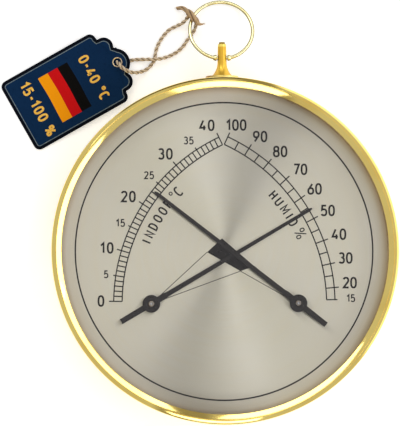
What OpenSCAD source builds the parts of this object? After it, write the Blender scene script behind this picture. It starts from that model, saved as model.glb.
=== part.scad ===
// Wall thermo-hygrometer with two crossing pointers, lying on its back beside its swing tag.
// Lengths are in millimetres and angles in degrees.
// The origin is the centre of the back face, +Z points out of the dial, +Y to the hanging ring.

/* [Case] */
// Outer diameter over the bezel
case_d = 130; // [127:1:133]
// Sheet thickness of the drum and its rear lip
drum_wall = 0.8; // [0.6:0.1:1.1]
// Width of the drum's rear lip, inwards from the outside of the drum
rear_lip_w = 4; // [3:0.5:5]
// Thickness of the back cover
cover_t = 1.5; // [1.4:0.1:2]
// Free height between the back cover and the dial plate
movement_space = 16.1; // [15.5:0.1:19]
// Number of ventilation slots in the back cover
vent_count = 12; // [6:1:16]
// Width of a ventilation slot
vent_w = 2.5; // [1.5:0.5:4]

/* [Bezel and glass] */
// Thickness of the bezel's skirt
skirt_t = 0.5; // [0.4:0.1:0.7]
// Length of the bezel's skirt, down the side of the drum
skirt_len = 7; // [5:0.5:8]
// Width of the outer band, from the ridge to the outside
outer_band_w = 1.7; // [1.5:0.1:1.8]
// Width of the inner band, from the sight opening to the ridge
inner_band_w = 2.2; // [2:0.1:2.4]
// Height of the ridge over the gasket
ridge_h = 1.35; // [1.3:0.05:1.5]
// Slope of the outer band, in degrees
outer_slope = 34; // [28:1:36]
// Thickness of the glass
glass_t = 2; // [1.5:0.1:3]
// Thickness of the gasket between the glass and the bezel
gasket_t = 0.3; // [0.2:0.1:0.6]
// Radial thickness of the spacer ring between dial and glass
spacer_w = 1; // [0.8:0.1:1.2]

/* [Dial] */
// Thickness of the dial plate
dial_t = 0.8; // [0.6:0.1:1.2]
// Distance between the two pivots
pivot_spacing = 55; // [53:0.5:57]
// Height of the pivots below the dial's centre
pivot_drop = 19.65; // [18:0.05:21]
// Radius of the scales' inner arc about the opposite pivot
scale_r = 65.85; // [65:0.05:67]
// Width of the scale band, from the inner arc to the outer arc
band_w = 3.15; // [2.8:0.05:3.6]
// Distance from the bezel's inner edge to the printed border circle
border_in = 5.3; // [4:0.1:7]
// Width of the printed border line
border_line_w = 0.55; // [0.3:0.05:0.6]
// Width of the printed arcs and ticks
scale_line_w = 0.45; // [0.25:0.05:0.5]
// Thickness of the printed ink
ink_t = 0.06; // [0.05:0.01:0.1]

/* [Pointers] */
// Length of the thermometer pointer, pivot to tip
thermo_len = 68.1; // [66:0.1:69]
// Length of the hygrometer pointer, pivot to tip
hygro_len = 70.1; // [67:0.1:71]
// Length of a pointer's tail
tail_len = 13.1; // [10:0.1:14]
// Thickness of a pointer's blade
blade_t = 0.4; // [0.3:0.05:0.6]
// Width of a blade next to its neck
blade_w = 1.85; // [1.4:0.05:2]
// Width of a blade at its tip
tip_w = 1.2; // [0.8:0.1:1.3]
// Radius of the hub disc
hub_r = 3.3; // [2.9:0.1:3.8]
// Height of the hub disc over the blade
hub_h = 0.8; // [0.6:0.1:1.2]
// Radius of the bright collet in the hub
collet_r = 1.25; // [1:0.05:1.5]
// Height from the dial's face to the lower pointer
pointer_lift = 1.6; // [1.4:0.1:2.2]
// Thermometer reading shown, in degrees Celsius
reading_c = 23.2; // [20:0.1:26]
// Hygrometer reading shown, in percent
reading_rh = 54; // [45:1:62]

/* [Movement] */
// Radius of a pointer's arbor
arbor_r = 0.35; // [0.3:0.05:0.4]
// Distance from the arbor to each pillar
pillar_reach = 12.5; // [12:0.5:14]
// Radius of a pillar
pillar_r = 1.5; // [1.3:0.1:1.8]
// Thickness of a bridge plate
bridge_t = 1.2; // [1:0.1:1.6]
// Height of the wound strip
coil_h = 4; // [3:0.5:5]
// Thickness of the wound strip
strip_t = 0.3; // [0.2:0.05:0.4]
// Outer radius of the wound strip
coil_r = 9; // [8:0.5:10]
// Number of turns of the wound strip
coil_turns = 6; // [4:1:7]
// Radius on which the adjuster's tool hole lies
tool_reach = 12.5; // [12:0.5:14]

/* [Hanger] */
// Height of the stud's axis over the back face
stud_z = 9.5; // [9:0.5:11]
// Distance from the drum to the ring's hinge axis
hinge_rise = 8.9; // [8:0.1:9.5]
// Radius of the stud's shaft next to its flared foot
stud_r = 1.85; // [1.7:0.05:2.1]
// Radius of the stud's shaft under its cap
stud_top_r = 1.65; // [1.5:0.05:1.7]
// Length of the stud over the rosette, with its cap
stud_len = 12.8; // [12:0.1:15]
// Radius of the flared foot
foot_r = 3.9; // [3.2:0.1:4.8]
// Radius of the rosette under the stud
rosette_r = 6.2; // [5.5:0.1:6.5]
// Height of the rosette's top over the drum
rosette_t = 2; // [1.5:0.1:2.5]
// Radius of the stud's screw thread
thread_r = 1.5; // [1.2:0.1:1.8]
// Thickness of the nut inside the drum
nut_t = 2.2; // [1.8:0.1:3]
// Radius of the ring, to the middle of its wire
ring_r = 11.9; // [10.5:0.05:14]
// Diameter of the ring's wire
wire_d = 1.45; // [1:0.05:1.5]

/* [Swing tag] */
// Width of the tag
tag_w = 29.2; // [27:0.2:30]
// Thickness of the tag's card
tag_t = 0.5; // [0.4:0.05:0.6]
// Distance from the tag's straight end to its eyelet
tag_eye_u = 43; // [42:0.5:44]
// Outer radius of the eyelet
eyelet_r = 2; // [1.9:0.05:2.2]
// Inner radius of the eyelet
eyelet_hole_r = 1.45; // [1.4:0.05:1.5]
// Diameter of the twine
twine_d = 1.4; // [1.3:0.05:1.5]

/* [Hidden] */
$fn = 96;

// Clearances
run_fit = 0.05;      // radial, between a shaft and its bearing
seat_fit = 0.05;     // radial, between pieces that are soldered or pushed together
slip_fit = 0.3;      // radial, around plates and glass that drop in
skirt_fit = 0.1;     // radial, between the bezel's skirt and the drum
axial_play = 0.15;   // between flat faces that slide on each other
sweep_gap = 0.4;     // between a pointer and what it passes over
glass_gap = 0.8;     // between the upper collet and the glass
press_fit = 0.02;    // radial, between pieces that are pressed together
cut = 1;             // how far a cut runs past the face that it opens

// Radii of the case
bezel_r = case_d / 2;
drum_r = bezel_r - skirt_t - skirt_fit;
drum_in = drum_r - drum_wall;
ridge_r = bezel_r - outer_band_w;
sight_r = ridge_r - inner_band_w;
lip_in = drum_r - rear_lip_w;
border_r = sight_r - border_in;

// Heights, from the back face upwards
dial_back = cover_t + movement_space;
dial_face = dial_back + dial_t;
pin_h = 0.3;
stack_h = blade_t + hub_h + pin_h;
lower_z = dial_face + pointer_lift;
upper_z = lower_z + stack_h + sweep_gap;
glass_z = upper_z + stack_h + glass_gap;
gasket_z = glass_z + glass_t;
bezel_z = gasket_z + gasket_t;
ridge_z = bezel_z + ridge_h;
lip_t = 0.4;
edge_r = 0.7;

// Pieces inside the drum
seat_w = 2.2;
seat_h = 2;
gasket_over = 0.3;
bracket_w = 8;
bracket_t = 1.5;
bracket_leg = 8;
bracket_reach = 11;
bracket_angles = [30, 150, 270];
screw_in = 4.4;
screw_head_r = 2.3;
screw_head_h = 1.2;
screw_r = 0.9;
screw_end = 1;
vent_in = 9.4;
vent_len = 8;

// Heights and sizes of a movement
bush_r = 1.6;
bush_flange_r = 2.6;
bush_flange_t = 0.8;
bush_lift = 0.4;
boss_r = 1.95;
boss_h = 1;
adjuster_t = 0.7;
coil_lift = 0.6;
coil_gap = 0.3;
flange_gap = 0.7;
adjuster_z = axial_play;
coil_z = boss_h + coil_lift;
pillar_len = coil_z + coil_h + coil_gap + flange_gap + bush_flange_t;
bridge_face = dial_back - pillar_len;
bridge_back = bridge_face - bridge_t;
bridge_w = 7;
collar_r = 1.3;
adjuster_ring_w = 1.3;
lever_w = 2.4;
lever_end = 1.6;
tab_t = 0.9;
tool_hole_r = 0.8;
access_r = 3.1;
m2_r = 0.7;
m2_hole_r = 1.05;
m2_head_r = 1.8;
m2_head_h = 1.1;
m2_depth = 3.5;
m2_spare = 0.5;
arbor_out = 0.3;
arbor_dimple = 0.2;
wind_step = 20;

// Outline of a pointer's blade
neck_w = 2.3;
neck_len = 5.6;
neck_slope = 1.4;
tail_w = 2;
point_len = 1.2;
point_w = 0.44;

// Printed ticks and sight lines
rh_step = 5;
tick_out = 1.75;
half_tick_out = 0.95;
sight_w = 0.25;
sight_clear = 2;

// Pivots and what the pointers show, as angles above the line through both pivots
pivot_x = pivot_spacing / 2;
pivot_y = -pivot_drop;
zero_c_angle = 0.85;
deg_per_c = 1.6;
low_rh = 15;
low_rh_angle = 1.2;
deg_per_rh = 0.752;
max_c = 40;
max_rh = 100;
comfort_c = [18, 25];
comfort_rh = [40, 70];
thermo_angle = zero_c_angle + deg_per_c * reading_c;
hygro_angle = low_rh_angle + deg_per_rh * (reading_rh - low_rh);

// Hanging ring, drooping from its hinge until its wire lies on the table
hinge_y = drum_r + hinge_rise;
ring_eye = 2.8;
ring_middle = sqrt(ring_r * ring_r - ring_eye * ring_eye);
ring_reach = ring_middle + ring_r;
ring_droop = asin((stud_z - wire_d / 2) / ring_reach);
ring_gap_angle = asin(ring_eye / ring_r);
pin_end = 0.2;
ring_collar_r = 1.15;
ring_collar_tip = 0.85;
ring_collar_in = stud_r + 0.2;
ring_collar_len = 0.5;
ring_collar_taper = 0.8;

// Stud
cap_h = 0.7;
cap_r = 1.15;
foot_h = 5.2;
foot_steps = 8;
flare_power = 2.2;
washer_r = 3.2;
washer_t = 0.8;
nut_flats = 5.5;
thread_end = 0.8;

// Tag, tilted because the twine passes under its eyelet end; it and the twine were laid out
// for a ring hinged at laid_hinge_y
laid_hinge_y = 73.3;
eyelet_at = [-39.2, 72.2];
tag_turn = 29.35;
tag_tilt = 2.93;
tag_corner_r = 2.4;
tag_shoulder_u = 37.9;
tag_flat_u = 40.3;
tag_flat_w = 22;
lobe_r = 3.65;
lobe_u = 41.3;
lobe_v = 7.5;
nose_r = 5.6;
nose_u = 42.15;
nose_flat_u = 45.4;
nose_flat_w = 10.6;
eyelet_rim = 0.1;
eyelet_tube_r = (eyelet_r + eyelet_hole_r) / 2;
twine_r = twine_d / 2;

// Route of the twine: from the knot along the table, over the tag's edge, down through the
// eyelet, round under the tag, out again, over itself and up to the knot.
twine_route = [
  [-12.9, 88.7, 3.6], [-14.4, 87.1, 2.1], [-16.6, 86, 0.9], [-19.4, 84.6, 0.75], [-21.6, 82.3, 0.75],
  [-23.6, 79.1, 0.75], [-24.6, 76.2, 0.75], [-25.1, 73.4, 0.75], [-26.5, 71, 0.75], [-28.5, 69.3, 1],
  [-30.9, 68.4, 1.95], [-33.2, 68.2, 3.35], [-35.5, 68.8, 4.1],
  [-37.3, 69.9, 4.3], [-38.1, 70.8, 4.05], [-38.7, 71.6, 3.3], [-39.2, 72.2, 2.45],
  [-39.6, 72.7, 1.75], [-40.3, 73.5, 1], [-41.1, 74.4, 0.75],
  [-42.6, 75.1, 0.75], [-44.6, 75.1, 0.75], [-46.3, 73.7, 0.75], [-46.8, 71.4, 0.75],
  [-45.6, 69.4, 0.75], [-43.4, 68.6, 0.75], [-40.4, 69, 0.75], [-37.9, 70.4, 0.75],
  [-35.8, 72, 0.75], [-33.4, 73.1, 0.75], [-30.4, 73.3, 1.05], [-27.7, 73.3, 1.9],
  [-24.9, 73.3, 2.5], [-22, 73.7, 1.95], [-19.2, 74.7, 1.05], [-16.5, 76.2, 0.75],
  [-14.3, 78.2, 0.75], [-12.5, 80.8, 0.75], [-10.9, 82.9, 1], [-9.8, 84.8, 1.9], [-9.4, 86.6, 3.2]
];

// Knot: a diagonal bundle over the ring's wire, with two loose ends and two stubs for the twine
knot_bundle = [
  [-16.7, 92.8, 1], [-14.7, 92.6, 2.6], [-12.6, 91.5, 4.6], [-11.2, 90.1, 5.3], [-9.9, 88.7, 5.3],
  [-8.3, 87.9, 4.9], [-7, 87.1, 3], [-6.1, 86.6, 1.3]
];
knot_radii = [0.65, 0.8, 1.1, 1.3, 1.15, 0.85, 0.75, 0.6];
knot_core = 3;
knot_fn = 14;
stub_gap = 0.1;
stub_flat = 0.2;

function unit(a) = a / norm(a);

// Direction of a route at point i: along the chord between its neighbours
function heading(route, i) =
  let (a = route[max(i - 1, 0)], b = route[min(i + 1, len(route) - 1)]) unit(b - a);

// Ring of points round a route's point, with no vertex straight below it
function route_ring(route, i, r, sides) =
  let (t = heading(route, i), s = unit(cross(t, [0, 0, 1])), u = cross(s, t))
  [for (k = [0 : sides - 1])
    let (a = 360 * (k + 0.5) / sides) route[i] + r * cos(a) * s + r * sin(a) * u];

module swept_tube(route, r, sides = 8) {
  n = len(route);
  points = [for (i = [0 : n - 1]) each route_ring(route, i, r, sides)];
  walls = [for (i = [0 : n - 2], k = [0 : sides - 1])
    let (a = i * sides + k, b = i * sides + (k + 1) % sides)
    each [[a, b, b + sides], [a, b + sides, a + sides]]];
  near_cap = [for (k = [1 : sides - 2]) [0, k + 1, k]];
  far = (n - 1) * sides;
  far_cap = [for (k = [1 : sides - 2]) [far, far + k, far + k + 1]];
  polyhedron(points = points, faces = concat(walls, near_cap, far_cap), convexity = 10);
}

// A flat ring between two radii
module washer(r_out, r_in, h) {
  difference() {
    cylinder(r = r_out, h = h);
    translate([0, 0, -cut]) cylinder(r = r_in, h = h + 2 * cut);
  }
}

// Places its children at a pivot: side is 1 for the right pivot and -1 for the left one
module at_pivot(side, z = 0) {
  translate([side * pivot_x, pivot_y, z]) children();
}

// Turns its children so that their +Y lies along the stud, outwards from the drum's axis
module along_stud(y) {
  translate([0, y, stud_z]) rotate([-90, 0, 0]) children();
}

// Places its children in the ring's own plane: +Y from the hinge to the far side of the ring
module in_ring_plane() {
  translate([0, hinge_y, stud_z]) rotate([-ring_droop, 0, 0]) children();
}

// Keeps what hangs on the ring in step with the ring's hinge
module with_ring() {
  translate([0, hinge_y - laid_hinge_y, 0]) children();
}

// Places its children on the tag: +X along it to the eyelet, +Z out of its printed face
module on_tag() {
  run = tag_eye_u * cos(tag_tilt);
  with_ring() translate([eyelet_at[0] - run * cos(tag_turn), eyelet_at[1] - run * sin(tag_turn), 0])
    rotate([0, 0, tag_turn]) rotate([0, -tag_tilt, 0]) children();
}

module case_drum() {
  color("goldenrod") difference() {
    union() {
      washer(drum_r, drum_in, gasket_z);
      washer(drum_r, lip_in, drum_wall);
    }
    along_stud(drum_in - 2 * cut) cylinder(r = thread_r + run_fit, h = drum_wall + 4 * cut);
  }
}

// Bezel: a skirt, a rounded outer edge, and two bands that slope down from a ridge: the outer one
// to the edge, the inner one to the lip over the gasket
module bezel() {
  skirt_z = bezel_z - skirt_len;
  edge_x = bezel_r - edge_r;
  band_end_r = edge_x + edge_r * sin(outer_slope);
  band_end_z = ridge_z - (band_end_r - ridge_r) * tan(outer_slope);
  edge_z = band_end_z - edge_r * cos(outer_slope);
  color("gold") rotate_extrude() difference() {
    union() {
      polygon([
        [sight_r, skirt_z], [bezel_r, skirt_z], [bezel_r, edge_z], [band_end_r, band_end_z],
        [ridge_r, ridge_z], [sight_r, bezel_z + lip_t]
      ]);
      translate([edge_x, edge_z]) circle(r = edge_r);
    }
    translate([sight_r - cut, skirt_z - cut])
      square([drum_r + skirt_fit - sight_r + cut, skirt_len + cut]);
  }
}

module lens_gasket() {
  color("dimgray") translate([0, 0, gasket_z]) washer(drum_in - slip_fit, sight_r + gasket_over, gasket_t);
}

module glass_lens() {
  color([0.85, 0.93, 0.95, 0.3]) translate([0, 0, glass_z]) cylinder(r = drum_in - slip_fit, h = glass_t);
}

module spacer_ring() {
  color("darkgoldenrod") translate([0, 0, dial_face])
    washer(sight_r + gasket_over + spacer_w, sight_r + gasket_over, glass_z - dial_face);
}

module dial_plate() {
  color("silver") translate([0, 0, dial_back]) difference() {
    cylinder(r = drum_in - slip_fit, h = dial_t);
    for (side = [-1, 1])
      at_pivot(side, -cut) cylinder(r = bush_r + seat_fit, h = dial_t + 2 * cut);
  }
}

module dial_seat_ring() {
  color("darkgoldenrod") translate([0, 0, dial_back - seat_h])
    washer(drum_in - seat_fit, drum_in - seat_w, seat_h);
}

// Where a line from the left pivot at angle a meets one from the right pivot at angle b
function crossing(a, b) =
  let (d = pivot_spacing * sin(b) / sin(a + b)) [-pivot_x + d * cos(a), pivot_y + d * sin(a)];
function c_angle(c) = zero_c_angle + deg_per_c * c;
function rh_angle(rh) = low_rh_angle + deg_per_rh * (rh - low_rh);

// How far each tick of a scale runs out past the band
c_ticks = [for (c = [0 : max_c]) c % 10 == 0 ? tick_out : c % 5 == 0 ? half_tick_out : 0];
rh_ticks = [for (rh = [low_rh : rh_step : max_rh])
  rh % 10 == 0 ? tick_out : rh == low_rh ? half_tick_out : 0];

// One scale about the origin: two arcs and its ticks, from the +X side up
module scale_marks(first, step, ticks) {
  outer = scale_r + band_w;
  sweep = step * (len(ticks) - 1);
  for (r = [scale_r, outer])
    rotate([0, 0, first]) rotate_extrude(angle = sweep)
      translate([r - scale_line_w / 2, 0]) square([scale_line_w, ink_t]);
  for (i = [0 : len(ticks) - 1])
    rotate([0, 0, first + i * step]) translate([scale_r, -scale_line_w / 2, 0])
      cube([band_w + ticks[i], scale_line_w, ink_t]);
}

module ink_line(a, b, w) {
  d = b - a;
  translate([a[0], a[1], 0]) rotate([0, 0, atan2(d[1], d[0])])
    translate([0, -w / 2, 0]) cube([norm(d), w, ink_t]);
}

// Printed marks: border circle, both scales, the comfort field and its sight lines
module dial_print() {
  cool = c_angle(comfort_c[0]);
  warm = c_angle(comfort_c[1]);
  dry = rh_angle(comfort_rh[0]);
  humid = rh_angle(comfort_rh[1]);
  start = bush_r + sight_clear;
  left = [-pivot_x, pivot_y];
  right = [pivot_x, pivot_y];
  color("black") translate([0, 0, dial_face]) {
    washer(border_r + border_line_w / 2, border_r - border_line_w / 2, ink_t);
    translate([pivot_x, pivot_y, 0]) mirror([1, 0, 0]) scale_marks(zero_c_angle, deg_per_c, c_ticks);
    translate([-pivot_x, pivot_y, 0]) scale_marks(low_rh_angle, deg_per_rh * rh_step, rh_ticks);
    linear_extrude(ink_t) polygon([
      crossing(dry, cool), crossing(humid, cool), crossing(humid, warm), crossing(dry, warm)
    ]);
    for (a = [dry, humid])
      ink_line(left + start * [cos(a), sin(a)], crossing(a, cool), sight_w);
    for (b = [cool, warm])
      ink_line(right + start * [-cos(b), sin(b)], crossing(dry, b), sight_w);
  }
}

module back_cover() {
  color("goldenrod") difference() {
    cylinder(r = lip_in - slip_fit, h = cover_t);
    for (a = bracket_angles)
      rotate([0, 0, a]) translate([lip_in - screw_in, 0, 0]) screw_cut(run_fit);
    for (i = [0 : vent_count - 1])
      rotate([0, 0, 360 * (i + 0.5) / vent_count]) vent_slot();
    for (side = [-1, 1])
      at_pivot(side, -cut) translate([0, tool_reach, 0]) cylinder(r = access_r, h = cover_t + 2 * cut);
  }
}

module vent_slot() {
  r_out = lip_in - vent_in;
  r_in = r_out - vent_len + vent_w;
  translate([0, 0, -cut]) {
    translate([r_in, -vent_w / 2, 0]) cube([r_out - r_in, vent_w, cover_t + 2 * cut]);
    for (r = [r_in, r_out])
      translate([r, 0, 0]) cylinder(d = vent_w, h = cover_t + 2 * cut);
  }
}

// Outline of a countersunk screw's head and shank, grown by a clearance
module screw_cut(grow) {
  translate([0, 0, -cut]) cylinder(r = screw_head_r + grow, h = cut);
  cylinder(r1 = screw_head_r + grow, r2 = screw_r + grow, h = screw_head_h);
  cylinder(r = screw_r + grow, h = cover_t + cut);
}

module cover_screws() {
  slot_w = 0.6;
  slot_d = 0.5;
  color("gold") for (a = bracket_angles)
    rotate([0, 0, a]) translate([lip_in - screw_in, 0, 0]) difference() {
      union() {
        cylinder(r1 = screw_head_r, r2 = screw_r, h = screw_head_h);
        cylinder(r = screw_r, h = cover_t + bracket_t + screw_end);
      }
      translate([-screw_head_r - cut, -slot_w / 2, -cut])
        cube([2 * (screw_head_r + cut), slot_w, cut + slot_d]);
    }
}

// Angle brackets inside the drum: the foot is tapped for the cover's screw
module cover_brackets() {
  color("darkgoldenrod") for (a = bracket_angles)
    rotate([0, 0, a]) difference() {
      intersection() {
        translate([0, 0, cover_t]) cylinder(r = drum_in - seat_fit, h = bracket_leg);
        union() {
          translate([drum_in - bracket_reach, -bracket_w / 2, cover_t])
            cube([bracket_reach, bracket_w, bracket_t]);
          translate([drum_in - bracket_t, -bracket_w / 2, cover_t])
            cube([bracket_t, bracket_w, bracket_leg]);
        }
      }
      translate([lip_in - screw_in, 0, cover_t - cut])
        cylinder(r = screw_r + run_fit, h = bracket_t + 2 * cut);
    }
}

// Turned bush, pushed into the dial plate from behind
module bush(side) {
  color("gold") at_pivot(side, dial_back - bush_flange_t) difference() {
    union() {
      cylinder(r = bush_flange_r, h = bush_flange_t);
      cylinder(r = bush_r, h = bush_flange_t + dial_t + bush_lift);
    }
    translate([0, 0, -cut])
      cylinder(r = arbor_r + run_fit, h = bush_flange_t + dial_t + bush_lift + 2 * cut);
  }
}

module pillars(side) {
  color("gold") for (s = [-1, 1])
    at_pivot(side, bridge_face) translate([s * pillar_reach, 0, 0]) difference() {
      cylinder(r = pillar_r, h = pillar_len);
      translate([0, 0, -cut]) cylinder(r = m2_r + run_fit, h = cut + m2_depth + m2_spare);
    }
}

// Bridge behind the coil: it carries the arbor's rear end and, on a boss, the adjuster
module bridge(side) {
  color("gold") at_pivot(side, bridge_back) difference() {
    union() {
      translate([-pillar_reach, -bridge_w / 2, 0]) cube([2 * pillar_reach, bridge_w, bridge_t]);
      for (s = [-1, 1])
        translate([s * pillar_reach, 0, 0]) cylinder(d = bridge_w, h = bridge_t);
      cylinder(r = boss_r, h = bridge_t + boss_h);
    }
    translate([0, 0, -cut]) cylinder(r = arbor_r + run_fit, h = bridge_t + boss_h + 2 * cut);
    for (s = [-1, 1])
      translate([s * pillar_reach, 0, -cut]) cylinder(r = m2_hole_r, h = bridge_t + 2 * cut);
  }
}

module bridge_screws(side) {
  slot_w = 0.5;
  slot_d = 0.5;
  color("lightgray") for (s = [-1, 1])
    at_pivot(side, bridge_back - m2_head_h) translate([s * pillar_reach, 0, 0]) difference() {
      union() {
        cylinder(r = m2_head_r, h = m2_head_h);
        cylinder(r = m2_r, h = m2_head_h + bridge_t + m2_depth);
      }
      translate([-m2_head_r - cut, -slot_w / 2, -cut])
        cube([2 * (m2_head_r + cut), slot_w, cut + slot_d]);
    }
}

// Lever that turns on the bridge's boss, with the tab that holds the coil's outer end
module adjuster(side) {
  ring_out = boss_r + run_fit + adjuster_ring_w;
  tab_in = coil_r + strip_t / 2;
  color("silver") at_pivot(side, bridge_face + adjuster_z) difference() {
    union() {
      cylinder(r = ring_out, h = adjuster_t);
      translate([-lever_w / 2, 0, 0]) cube([lever_w, tool_reach, adjuster_t]);
      translate([0, tool_reach, 0]) cylinder(r = lever_end, h = adjuster_t);
      translate([-lever_w / 2, tab_in, 0]) cube([lever_w, tab_t, coil_z + coil_h - adjuster_z]);
    }
    translate([0, 0, -cut]) cylinder(r = boss_r + run_fit, h = adjuster_t + 2 * cut);
    translate([0, tool_reach, -cut]) cylinder(r = tool_hole_r, h = adjuster_t + 2 * cut);
  }
}

// Strip wound from the arbor's collar out to the adjuster's tab
module coil(side, strip_color) {
  steps = coil_turns * 360 / wind_step;
  first_r = collar_r + run_fit + strip_t / 2;
  pitch = (coil_r - first_r) / steps;
  function turn(i, shift) =
    let (a = 90 - wind_step * (steps - i), r = first_r + pitch * i + shift) [r * cos(a), r * sin(a)];
  color(strip_color) at_pivot(side, bridge_face + coil_z) linear_extrude(coil_h) polygon(concat(
    [for (i = [0 : steps]) turn(i, -strip_t / 2)],
    [for (i = [0 : steps]) turn(steps - i, strip_t / 2)]
  ));
}

// Arbor: a thin shaft from the bridge to the pointer, with a collar inside the coil
module arbor(side, pointer_z) {
  low = bridge_back - arbor_out;
  collar_z = bridge_face + coil_z - coil_gap;
  color("lightgray") at_pivot(side) {
    translate([0, 0, low]) cylinder(r = arbor_r, h = pointer_z + stack_h - arbor_dimple - low);
    translate([0, 0, collar_z]) cylinder(r = collar_r, h = coil_h + 2 * coil_gap);
  }
}

// Flat blade with a neck, a tapering front and a plain tail, pointing along +X
module blade(front) {
  linear_extrude(blade_t) difference() {
    union() {
      polygon([
        [-tail_len, -tail_w / 2], [0, -neck_w / 2], [neck_len, -neck_w / 2],
        [neck_len + neck_slope, -blade_w / 2], [front - point_len, -tip_w / 2], [front, -point_w / 2],
        [front, point_w / 2], [front - point_len, tip_w / 2], [neck_len + neck_slope, blade_w / 2],
        [neck_len, neck_w / 2], [0, neck_w / 2], [-tail_len, tail_w / 2]
      ]);
      circle(r = hub_r);
    }
    circle(r = collet_r + press_fit);
  }
}

// Hub disc with a raised ring round the collet
module hub() {
  ring_edge = 0.6;
  ring_out = hub_r - ring_edge;
  ring_in = collet_r + 0.5;
  ring_h = 0.15;
  washer(hub_r, collet_r + press_fit, hub_h - ring_h);
  washer(ring_out, ring_in, hub_h);
}

// Bright collet, pushed on the arbor, that carries blade and hub
module collet() {
  below = 0.4;
  translate([0, 0, -below]) washer(collet_r, arbor_r + press_fit, below + stack_h);
}

module thermo_turn() {
  at_pivot(1, upper_z) rotate([0, 0, 180 - thermo_angle]) children();
}

module hygro_turn() {
  at_pivot(-1, lower_z) rotate([0, 0, hygro_angle]) children();
}

module thermo_bush() { bush(1); }
module thermo_pillars() { pillars(1); }
module thermo_bridge() { bridge(1); }
module thermo_bridge_screws() { bridge_screws(1); }
module thermo_adjuster() { adjuster(1); }
module thermo_coil() { coil(1, "peru"); }
module thermo_arbor() { arbor(1, upper_z); }
module thermo_pointer() { color("black") thermo_turn() blade(thermo_len); }
module thermo_hub() { color("black") thermo_turn() translate([0, 0, blade_t]) hub(); }
module thermo_collet() { color("silver") thermo_turn() collet(); }

module hygro_bush() { bush(-1); }
module hygro_pillars() { pillars(-1); }
module hygro_bridge() { bridge(-1); }
module hygro_bridge_screws() { bridge_screws(-1); }
module hygro_adjuster() { adjuster(-1); }
module hygro_coil() { coil(-1, "lightsteelblue"); }
module hygro_arbor() { arbor(-1, lower_z); }
module hygro_pointer() { color("black") hygro_turn() blade(hygro_len); }
module hygro_hub() { color("black") hygro_turn() translate([0, 0, blade_t]) hub(); }
module hygro_collet() { color("silver") hygro_turn() collet(); }

// Stud: a thread through the drum, a flared foot, a tapering shaft and a small cap
module hanger_stud() {
  thread_len = rosette_t + drum_wall + washer_t + nut_t + thread_end;
  flare = [for (i = [0 : foot_steps])
    let (t = i / foot_steps) [stud_r + (foot_r - stud_r) * pow(1 - t, flare_power), foot_h * t]];
  color("gold") difference() {
    along_stud(drum_r + rosette_t) {
      translate([0, 0, -thread_len]) cylinder(r = thread_r, h = thread_len + cut);
      rotate_extrude() polygon(concat(
        [[0, 0]], flare,
        [[stud_top_r, stud_len - cap_h], [cap_r, stud_len - cap_h], [cap_r, stud_len], [0, stud_len]]
      ));
    }
    translate([-stud_r - cut, hinge_y, stud_z]) rotate([0, 90, 0])
      cylinder(r = wire_d / 2 + run_fit, h = 2 * (stud_r + cut));
  }
}

// Rosette: a round foot plate whose underside is hollowed to the drum
module stud_rosette() {
  edge = 0.8;
  color("gold") difference() {
    along_stud(drum_r - edge) cylinder(r = rosette_r, h = rosette_t + edge);
    cylinder(r = drum_r + seat_fit, h = 4 * stud_z, $fn = 720);
    along_stud(drum_r - edge - cut) cylinder(r = thread_r + run_fit, h = rosette_t + edge + 2 * cut);
  }
}

washer_top = sqrt(drum_in * drum_in - washer_r * washer_r) - seat_fit;

module stud_washer() {
  color("lightgray") along_stud(washer_top - washer_t) washer(washer_r, thread_r + run_fit, washer_t);
}

module stud_nut() {
  color("lightgray") along_stud(washer_top - washer_t - nut_t) difference() {
    cylinder(d = nut_flats / cos(30), h = nut_t, $fn = 6);
    translate([0, 0, -cut]) cylinder(r = thread_r + run_fit, h = nut_t + 2 * cut);
  }
}

// Ring of round wire: an open circle whose two ends turn into pins inside the stud, with a
// tapering collar on each side of it
module hanging_ring() {
  color("gold") in_ring_plane() {
    translate([0, ring_middle, 0]) rotate([0, 0, ring_gap_angle - 90])
      rotate_extrude(angle = 360 - 2 * ring_gap_angle) translate([ring_r, 0]) circle(d = wire_d);
    for (s = [-1, 1]) {
      translate([s * (ring_eye + pin_end) / 2, 0, 0]) rotate([0, 90, 0])
        cylinder(d = wire_d, h = ring_eye - pin_end, center = true);
      translate([s * ring_collar_in, 0, 0]) rotate([0, s * 90, 0]) {
        cylinder(r = ring_collar_r, h = ring_collar_len);
        translate([0, 0, ring_collar_len])
          cylinder(r1 = ring_collar_r, r2 = ring_collar_tip, h = ring_collar_taper);
      }
    }
  }
}

module tag_outline() {
  shoulder_v = tag_w / 2 - tag_corner_r;
  for (v = [-shoulder_v, shoulder_v], u = [tag_corner_r, tag_shoulder_u])
    translate([u, v]) circle(r = tag_corner_r);
  translate([tag_corner_r, -tag_w / 2]) square([tag_shoulder_u - tag_corner_r, tag_w]);
  translate([0, -shoulder_v]) square([tag_flat_u, 2 * shoulder_v]);
  translate([0, -tag_flat_w / 2]) square([tag_flat_u, tag_flat_w]);
  for (v = [-lobe_v, lobe_v])
    translate([lobe_u, v]) circle(r = lobe_r);
  translate([tag_flat_u - cut, -nose_flat_w / 2])
    square([nose_flat_u - tag_flat_u + cut, nose_flat_w]);
  translate([nose_u, 0]) circle(r = nose_r);
}

module swing_tag() {
  color("midnightblue") on_tag() difference() {
    linear_extrude(tag_t) tag_outline();
    translate([tag_eye_u, 0, -cut]) cylinder(r = eyelet_tube_r, h = tag_t + 2 * cut);
  }
}

// Eyelet: a short tube through the card with a flange on each face
module tag_eyelet() {
  color("gold") on_tag() translate([tag_eye_u, 0, -eyelet_rim]) {
    washer(eyelet_tube_r, eyelet_hole_r, tag_t + 2 * eyelet_rim);
    washer(eyelet_r, eyelet_hole_r, eyelet_rim);
    translate([0, 0, tag_t + eyelet_rim]) washer(eyelet_r, eyelet_hole_r, eyelet_rim);
  }
}

module tag_twine() {
  color("tan") with_ring() swept_tube(twine_route, twine_r);
}

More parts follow.
